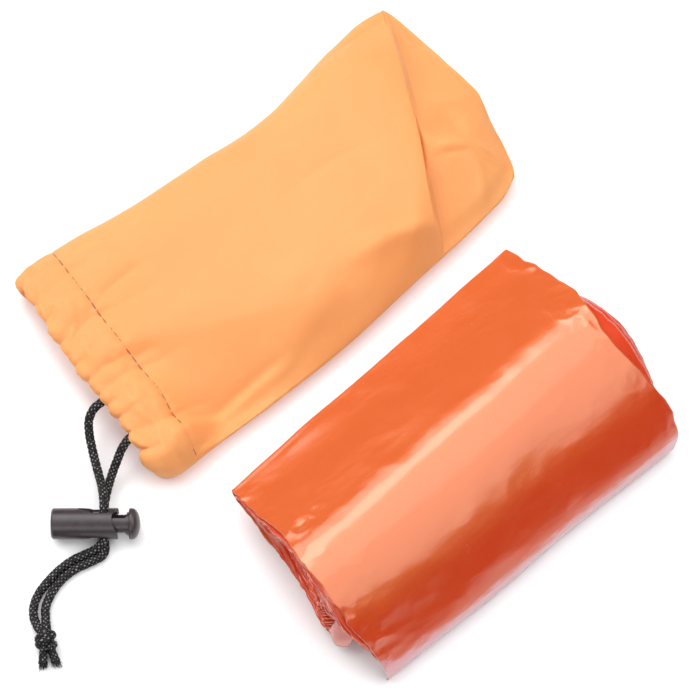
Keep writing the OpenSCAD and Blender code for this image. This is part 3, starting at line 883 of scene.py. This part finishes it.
def sack_point(t, v, top, inward=0.0):
    """Outer surface with its gathers, t millimetres in from the mouth edge, moved inward."""
    t = np.asarray(t, float)
    u = np.where(t <= WALL, t / WALL, 1.0 + (t - WALL) / END_REACH)
    step_u, step_v = 0.002, 0.004
    before, after = np.clip(v - step_v, 0, 1), np.clip(v + step_v, 0, 1)
    base = sack_surface(u, v, top)
    along = sack_surface(u + step_u, v, top) - sack_surface(u - step_u, v, top)
    across = sack_surface(u, after, top) - sack_surface(u, before, top)
    normal = np.cross(along, across)
    normal /= np.linalg.norm(normal, axis=-1, keepdims=True) + 1e-12
    normal = np.where(np.asarray(top)[..., None], normal, -normal)
    place = np.where(top, v, 2.0 - v) * SACK_AROUND / 2
    drift = 1.6 * value_noise(t / 11.0, place / 23.0, 31)
    fine = FINE_GATHERS.at(place + drift * ramp(t, 0, 14)) * np.exp(-((t / 6.0) ** 1.4))
    small = SMALL_GATHERS.at(place - 1.5 * drift) * np.exp(-((t / 3.2) ** 1.5))
    wide = WIDE_GATHERS.at(place + 2.5 * drift) * (0.3 + 0.7 * ramp(t, 0, 8)) * (1.0 - ramp(t, 12, 40))
    hem = hem_line(v)
    hem_puff = 0.35 * np.sin(math.pi * np.clip(t / hem, 0, 1)) ** 0.8
    groove = -0.35 * np.exp(-(((t - hem) / 0.7) ** 2))
    pucker = 0.12 * np.sin(2 * math.pi * place / 3.4) * np.exp(-(((t - hem) / 3.0) ** 2))
    lumps = 0.5 * value_noise(t / 9.0, place / 8.0, 33) * (1.0 - ramp(t, 12, 30))
    lumps = lumps + 0.42 * crumple(t * 1.6, place, 6.0, 35, 2) * (1.0 - ramp(t, 6, 20))
    lumps = lumps + 0.3 * crumple(t, place * 1.4, 26.0, 37, 2) * ramp(t, 10, 30)
    height = 1.15 * fine + 0.7 * small + 0.6 * wide + hem_puff + groove + pucker + lumps
    height = height * np.where(top, 1.0, 0.35)
    sides = bulge(np.minimum(v, 1.0 - v), 0.06)
    height = height * (0.35 + 0.65 * sides)
    scallop = -1.1 * (FINE_GATHERS.at(place) + 0.6 * SMALL_GATHERS.at(place) - 0.8) * np.exp(-t / 4.0)
    setback = LIP_SETBACK * np.where(top, 0.0, ramp(np.minimum(v, 1.0 - v), 0.0, 0.12)) * np.exp(-t / 9.0)
    point = base + normal * (height - inward)[..., None]
    point[..., 0] += scallop + setback
    return point


def sack_columns(count):
    """Shares across the sack, closer together near its two sides."""
    t = np.linspace(0.0, 1.0, count)
    return 0.62 * t + 0.38 * (0.5 - 0.5 * np.cos(math.pi * t))


def sack_rows():
    """The fabric's way from the hem's inner edge, round the mouth and out to the foot: (t, inward)."""
    fold_r = 1.5
    inner_t = np.r_[np.linspace(HEM_WIDTH - 0.6, 3.0, 18), 2.2]
    inner_gap = 0.5 + 2.5 * np.clip((HEM_WIDTH - 0.6 - inner_t) / 6.0, 0, 1) ** 0.7
    turn = np.linspace(-90.0, 90.0, 11)[1:]
    fold_t = fold_r - fold_r * np.cos(np.radians(turn))
    fold_gap = fold_r - fold_r * np.sin(np.radians(turn))
    outer_t = np.r_[np.linspace(2.1, WALL - 0.5, 186), WALL - 0.15, WALL]
    past_t = WALL + END_REACH * np.linspace(0.0, 1.0, 52)[1:] ** 1.25
    past_t = np.r_[WALL + 0.12, WALL + 0.35, past_t]
    t = np.r_[inner_t, fold_t, outer_t, np.unique(past_t)]
    inward = np.r_[inner_gap, fold_gap, np.zeros(len(t) - len(inner_t) - len(fold_t))]
    return t, inward


def add_sack():
    t, inward = sack_rows()
    v_top = sack_columns(138)
    v_low = v_top[::-1][1:-1]
    v = np.r_[v_top, v_low][None, :]
    top = np.r_[np.ones(len(v_top), bool), np.zeros(len(v_low), bool)][None, :]
    t, inward, v, top = np.broadcast_arrays(t[:, None], inward[:, None], v, top)
    points = sack_point(t, v, top, inward)
    points[..., 2] = np.maximum(points[..., 2], FABRIC)
    rows, cols = t.shape
    faces = grid_faces(rows, cols, round_cols=True)
    piece = add_mesh("sack_shell", points.reshape(-1, 3), faces, NYLON)
    place = np.where(top, v, 2.0 - v) * SACK_AROUND / 2
    fabric_t = np.where(inward > 1.5, -t, t)
    set_grid_uv(piece, np.stack([fabric_t, place], axis=-1).reshape(-1, 2))
    data = bmesh.new()
    data.from_mesh(piece.data)
    bmesh.ops.remove_doubles(data, verts=data.verts, dist=2e-6)
    data.to_mesh(piece.data)
    data.free()
    thicken(piece, FABRIC)
    piece.data.shade_smooth()
    settle(piece, "stuff_sack", "sack_fabric",
           "sack_body", "sack_end_panel", "sack_channel", "sack_side_seam", "sack_end_seam")
    return piece


# How far along a stitch each ring of its thread is, and the ring's size.
STITCH_RINGS = [(0.0, 0.35), (0.12, 0.8), (0.5, 1.0), (0.88, 0.8), (1.0, 0.35)]
STITCH_SIDES = 6


def stitch_points(a, b, radius):
    """Points of a short thread from a to b with rounded ends, ring by ring."""
    way = (b - a) / np.linalg.norm(b - a)
    side = np.cross(way, UP)
    side /= np.linalg.norm(side) + 1e-9
    up = np.cross(side, way)
    points = []
    for share, size in STITCH_RINGS:
        centre = a + (b - a) * share + up * 0.12 * math.sin(math.pi * share)
        for k in range(STITCH_SIDES):
            angle = 2 * math.pi * k / STITCH_SIDES
            points.append(centre + radius * size * (math.cos(angle) * side + math.sin(angle) * up))
    return points


def add_stitches(name, node, pairs, radius, above):
    """A row of stitches as one piece: each a small thread between two (t, v, top) places on the sack."""
    points, faces = [], []
    for pair in pairs:
        t, v, top = (np.array(column) for column in zip(*pair))
        a, b = np.maximum(sack_point(t, v, top, np.full(2, -above)), [-np.inf, -np.inf, radius])
        faces += tube_faces(len(STITCH_RINGS), STITCH_SIDES, start=len(points))
        points += stitch_points(a, b, radius)
    piece = add_mesh(name, points, faces, THREAD)
    settle(piece, "stuff_sack", "thread", node)
    return piece


def hem_stitches():
    """The hem's stitches, all round the mouth."""
    pitch, thread = 2.9, 2.5
    half = SACK_AROUND / 2
    pairs = []
    for k in range(int(SACK_AROUND / pitch)):
        pair = []
        for share in (k * pitch / half, (k * pitch + thread) / half):
            v = share if share <= 1.0 else 2.0 - share
            pair.append((hem_line(v), v, share <= 1.0))
        pairs.append(pair)
    return pairs


def corner_stitches():
    """Stitches along the crease, by the far corner of the boxed end."""
    starts = [0.80 + 0.032 * k for k in range(6)]
    return [[(WALL + 0.5, v, True) for v in (start, start + 0.022)] for start in starts]


# ---- Folded bivy ----
# The roll from its end, (y, z): up the near side from the strip's free end, over the crown, down the
# far slope to the far fold and back below.
ROLL_OUTLINE = [
    (-84.2, 0.8), (-84.9, 4), (-84.2, 8), (-81.8, 11.8), (-77.6, 17), (-72.6, 22.8), (-67, 27.6),
    (-61, 31.2), (-55, 33.2), (-48.5, 33.3), (-43.4, 31.8), (-38, 28.6), (-30, 23.6), (-21, 17.8),
    (-13.4, 13.4), (-11.2, 11.6), (-13.8, 8.4), (-24, 3.2), (-36, 0.7), (-58, 0.5), (-78, 0.5),
]
ROLL_CORE = np.array([-53.0, 17.0])
# The thickness the folded strip is drawn with.
FILM_T = 0.3
# Each turn is smaller than the one outside it by this share of the outline.
ROLL_PITCH = 0.058
INNER_TURNS = 12
# Ends of the outermost turn against the share of the way round: its left and its right edge.
WRAP_LEFT = [(0.0, -69.4), (0.05, -69.7), (0.114, -70.2), (0.142, -71.0), (0.2, -71.3), (0.248, -71.0),
             (0.317, -70.2), (0.386, -67.6), (0.45, -66.9), (0.505, -66.5), (0.56, -65.6), (0.7, -66.4),
             (1.0, -67.0)]
WRAP_RIGHT = [(0.0, 39.0), (0.02, 41.6), (0.05, 43.4), (0.1, 44.2), (0.15, 43.6), (0.194, 42.2),
              (0.25, 41.2), (0.309, 43.0), (0.365, 45.2), (0.43, 45.8), (0.5, 46.0), (0.56, 45.4),
              (0.7, 45.0), (1.0, 43.0)]
# The same for the turns below it, against the share of the way round each.
INNER_LEFT = [(0.0, -67.5), (0.05, -68.0), (0.1, -70.6), (0.15, -72.4), (0.2, -72.2), (0.27, -71.0),
              (0.33, -69.6), (0.4, -67.8), (0.5, -66.4), (0.56, -65.8), (0.65, -65.2), (0.72, -66.8),
              (0.765, -68.0), (0.825, -70.0), (0.86, -71.6), (0.88, -71.6), (0.9, -69.8), (0.925, -67.6),
              (0.952, -66.8), (1.0, -67.5)]
INNER_RIGHT = [(0.0, 38.0), (0.04, 41.0), (0.08, 42.8), (0.12, 43.6), (0.16, 45.2), (0.21, 46.2),
               (0.26, 46.6), (0.31, 46.4), (0.37, 45.6), (0.45, 45.0), (0.56, 44.4), (0.7, 43.0),
               (0.95, 40.0), (1.0, 38.0)]
# Patches of small crinkles: their middle along X and round the roll, and their reach both ways.
CRINKLED = [(-60, 66.0, 6.0, 4.0), (-57, 44.0, 6.5, 6.0), (37, 66.0, 6.0, 5.0), (38, 50.0, 5.0, 9.0),
            (-66, 22.0, 4.0, 6.0)]


def dense_roll():
    """The closed outline as evenly spaced points, with the length round it."""
    points = np.array(ROLL_OUTLINE)
    count = len(points)
    t = np.linspace(0.0, count, 1200, endpoint=False)
    i = np.floor(t).astype(int)
    f = (t - i)[:, None]
    p0, p1 = points[(i - 1) % count], points[i % count]
    p2, p3 = points[(i + 1) % count], points[(i + 2) % count]
    curve = p1 + 0.5 * f * (p2 - p0 + f * (2 * p0 - 5 * p1 + 4 * p2 - p3 + f * (3 * p1 - p0 - 3 * p2 + p3)))
    curve = np.vstack([curve, curve[:1]])
    walked = np.r_[0.0, np.cumsum(np.linalg.norm(np.diff(curve, axis=0), axis=1))]
    return curve, walked


ROLL_CURVE, ROLL_WALKED = dense_roll()
ROLL_ROUND = ROLL_WALKED[-1]


def roll_at(share):
    """Point (y, z) on the outline and its outward normal, by the share of the way round."""
    def place(s):
        way = np.mod(s, 1.0) * ROLL_ROUND
        return np.stack([np.interp(way, ROLL_WALKED, ROLL_CURVE[:, k]) for k in (0, 1)], axis=-1)

    point = place(share)
    along = place(np.asarray(share) + 0.004) - place(np.asarray(share) - 0.004)
    normal = np.stack([-along[..., 1], along[..., 0]], axis=-1)
    return point, normal / np.linalg.norm(normal, axis=-1, keepdims=True)


def film_relief(x, way, seed, left, right):
    """Creases of the film, in millimetres: soft over its middle and sharp towards its two ends."""
    to_end = np.minimum(x - left, right - x)
    near_end = 1.0 - ramp(to_end, 0.0, 9.0)
    broad = 0.26 * value_noise(x / 27.0, way / 15.0, seed)
    broad = broad + 0.10 * value_noise(x / 12.0, way / 8.0, seed + 1)
    facets = crumple(x, way, 11.0, seed + 2, 2)
    fine = crumple(x, way, 5.0, seed + 5, 2)
    spots = np.zeros(np.broadcast(x, way).shape)
    for spot_x, spot_way, reach_x, reach_way in CRINKLED:
        spots += np.exp(-(((x - spot_x) / reach_x) ** 2) - ((way - spot_way) / reach_way) ** 2)
    return broad + facets * (0.07 + 0.18 * near_end + 0.14 * spots) + fine * (0.07 * near_end + 0.13 * spots)


def roll_surface(x, s, seed, left, right, outermost):
    """A point of the rolled strip at x, s turns in from its free end."""
    turn = np.floor(s)
    share = s - turn
    point, normal = roll_at(share)
    inset = ROLL_PITCH * (turn + ramp(share, 0.80, 1.0))
    point = ROLL_CORE + (1.0 - inset)[..., None] * (point - ROLL_CORE)
    y, z = point[..., 0], point[..., 1]
    way = s * ROLL_ROUND
    lift = film_relief(x, way, seed, left, right)
    sunk = ramp(z, 0.3, 6.0)
    # The roll is fuller on the near side towards its right end, and its near right corner is bent in.
    full = 3.0 * ramp(x, -10, 45) * ramp(-y, 60, 84) - 2.6 * ramp(-x, 20, 70) * ramp(-y, 30, 84)
    beyond = (x - 42.5) * 0.78 + (-y - 72.0) * 0.62 + 0.9 * value_noise(way / 9.0, x / 9.0, 77)
    corner = 0.08 * np.sqrt(np.clip(beyond, 0, None) ** 2 + 0.2) * (beyond > 0) * ramp(z, 2.0, 14.0)
    tip = 0.35 * value_noise(x / 17.0, 3.1, 91) * ramp(y, -24, -13)
    out = (lift * sunk - corner) * (1.0 if outermost else 0.8)
    y = y + normal[..., 0] * out - full + tip
    z = z + normal[..., 1] * out
    if not outermost:
        # Past the outermost turn's right edge the inner turns droop.
        z = z - 0.45 * np.clip(x - 41.0, 0.0, None) * ramp(z, 5.0, 20.0)
    return np.stack([x, y, np.maximum(z, 0.2 + 0.02 * turn)], axis=-1)


def strip_columns(fine, coarse):
    """Shares of the strip's width, fine steps near its two ends and coarse ones between, in millimetres."""
    width, end_band = 112.0, 20.0
    left_band = np.arange(0.0, end_band, fine)
    middle = np.linspace(end_band, width - end_band, int((width - 2 * end_band) / coarse))
    return np.r_[left_band, middle[1:-1], width - left_band[::-1]] / width


def rolled_strip(name, turns, steps, fine, coarse, seed, ends, film):
    """One length of the rolled strip, between two turns; ends gives its left and right edge."""
    s = np.linspace(*turns, steps)[:, None]
    left, right = ends(s)
    x = left + (right - left) * strip_columns(fine, coarse)[None, :]
    s = np.broadcast_to(s, x.shape)
    points = roll_surface(x, s, seed, left, right, outermost=turns[0] == 0)
    piece = add_mesh(name, points.reshape(-1, 3), grid_faces(*x.shape), film, LINING)
    # The painted reflection of the floor along the hem reaches higher at the left end, where its corner is
    # pulled up.
    painted_reflection_rise = 7.5 * np.exp(-np.clip(x + 71.0, 0.0, None) / 4.5)
    set_grid_uv(piece, np.stack([x, s * ROLL_ROUND - painted_reflection_rise], axis=-1).reshape(-1, 2))
    thicken(piece, FILM_T, rim_slot=1)
    piece.data.shade_smooth()
    return piece


def wrap_ends(s):
    """The outermost turn's left and right edge, a little ragged."""
    way = s * ROLL_ROUND
    ragged_left = 0.5 * value_noise(way / 5.0, 0.5, 51) + 0.25 * value_noise(way / 1.9, 2.5, 52)
    ragged_right = 0.5 * value_noise(way / 4.0, 7.5, 53)
    return smooth_table(s, WRAP_LEFT) + ragged_left, smooth_table(s, WRAP_RIGHT) + ragged_right


def inner_ends(s):
    """The inner turns' left and right edges: they stand out of the roll's ends by uneven amounts."""
    way = s * ROLL_ROUND
    share = np.mod(s, 1.0)
    ragged_left = 0.5 * value_noise(s * 2.1, 0.3, 61) + 0.5 * value_noise(s * 7.0, 1.7, 62)
    ragged_right = 0.6 * value_noise(s * 2.3, 4.3, 63) + 0.7 * value_noise(s * 8.0, 5.7, 64)
    fray = 0.35 * value_noise(way / 2.6, 0.1, 65)
    # The first few turns stand out step by step; the core is drawn in again.
    step = 0.55 * np.clip(s - 1.0, 0.0, 3.5) - 0.45 * np.clip(s - 4.5, 0.0, None)
    left = smooth_table(share, INNER_LEFT) - ragged_left + fray - 0.2 * step
    right = smooth_table(share, INNER_RIGHT) + ragged_right + fray + step
    return left, right


def turned_corner():
    """The lowest plies are turned over by the left near corner and show their silvered side."""
    out, near = np.meshgrid(np.linspace(0.0, 1.0, 15), np.linspace(0.0, 1.0, 13), indexing="ij")
    x = -67.4 - (6.2 - 1.6 * (1.0 - near) ** 2 - 2.6 * near ** 4) * out + 0.25 * np.sin(9.0 * near)
    y = -60.4 - 6.6 * near - 0.6 * out * (near - 0.3)
    z = 9.0 - 4.8 * out ** 1.5 - 1.4 * near + 0.6 * np.sin(7.0 * near) * out
    points = np.stack([x, y, z], axis=-1).reshape(-1, 3)
    piece = add_mesh("bivy_turned_corner", points, grid_faces(*x.shape), LINING)
    set_grid_uv(piece, points[:, :2])
    thicken(piece, FILM_T)
    return piece


def add_bivy():
    wrap = rolled_strip("bivy_wrap", (0, 1), 360, 0.45, 0.8, 41, wrap_ends, FILM)
    inner_steps = 150 * INNER_TURNS
    turns = rolled_strip("turns", (1, 1 + INNER_TURNS), inner_steps, 0.8, 6.0, 141, inner_ends, FILM_INSIDE)
    inner = join("bivy_inner_turns", [turns, turned_corner()])
    settle(wrap, "folded_bivy", "bivy_film", "bivy_outer_film", "bivy_side_welds")
    settle(inner, "folded_bivy", "bivy_film", "bivy_inner_film", "bivy_foot_weld")


add_studio()
add_camera()
add_drawcord()
add_channel_cord()
add_spring()
sack = add_sack()
stitches = (
    add_stitches("hem_stitches", "channel_stitching", hem_stitches(), radius=0.2, above=0.35),
    add_stitches("corner_stitches", "corner_stitching", corner_stitches(), radius=0.16, above=0.3),
)
add_bivy()

# The CAD nodes' own looks: the lock's barrel and plunger are shown, the others have pieces in their place.
NODE_MATERIALS = [
    (PLASTIC, ["lock_barrel", "lock_plunger"]),
    (WIRE, ["lock_spring"]),
    (BRAID, ["channel_cord", "loop_strand_far", "loop_strand_near", "tail_strand_outer",
             "tail_strand_inner", "cord_knot", "cord_ends"]),
    (THREAD, ["channel_stitching", "corner_stitching"]),
    (NYLON, ["sack_body", "sack_end_panel", "sack_channel", "sack_side_seam", "sack_end_seam"]),
    (FILM, ["bivy_outer_film", "bivy_side_welds", "bivy_foot_weld"]),
    (LINING, ["bivy_inner_film"]),
]
for material, nodes in NODE_MATERIALS:
    for node in nodes:
        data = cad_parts[node].data
        data.materials.clear()
        data.materials.append(material)
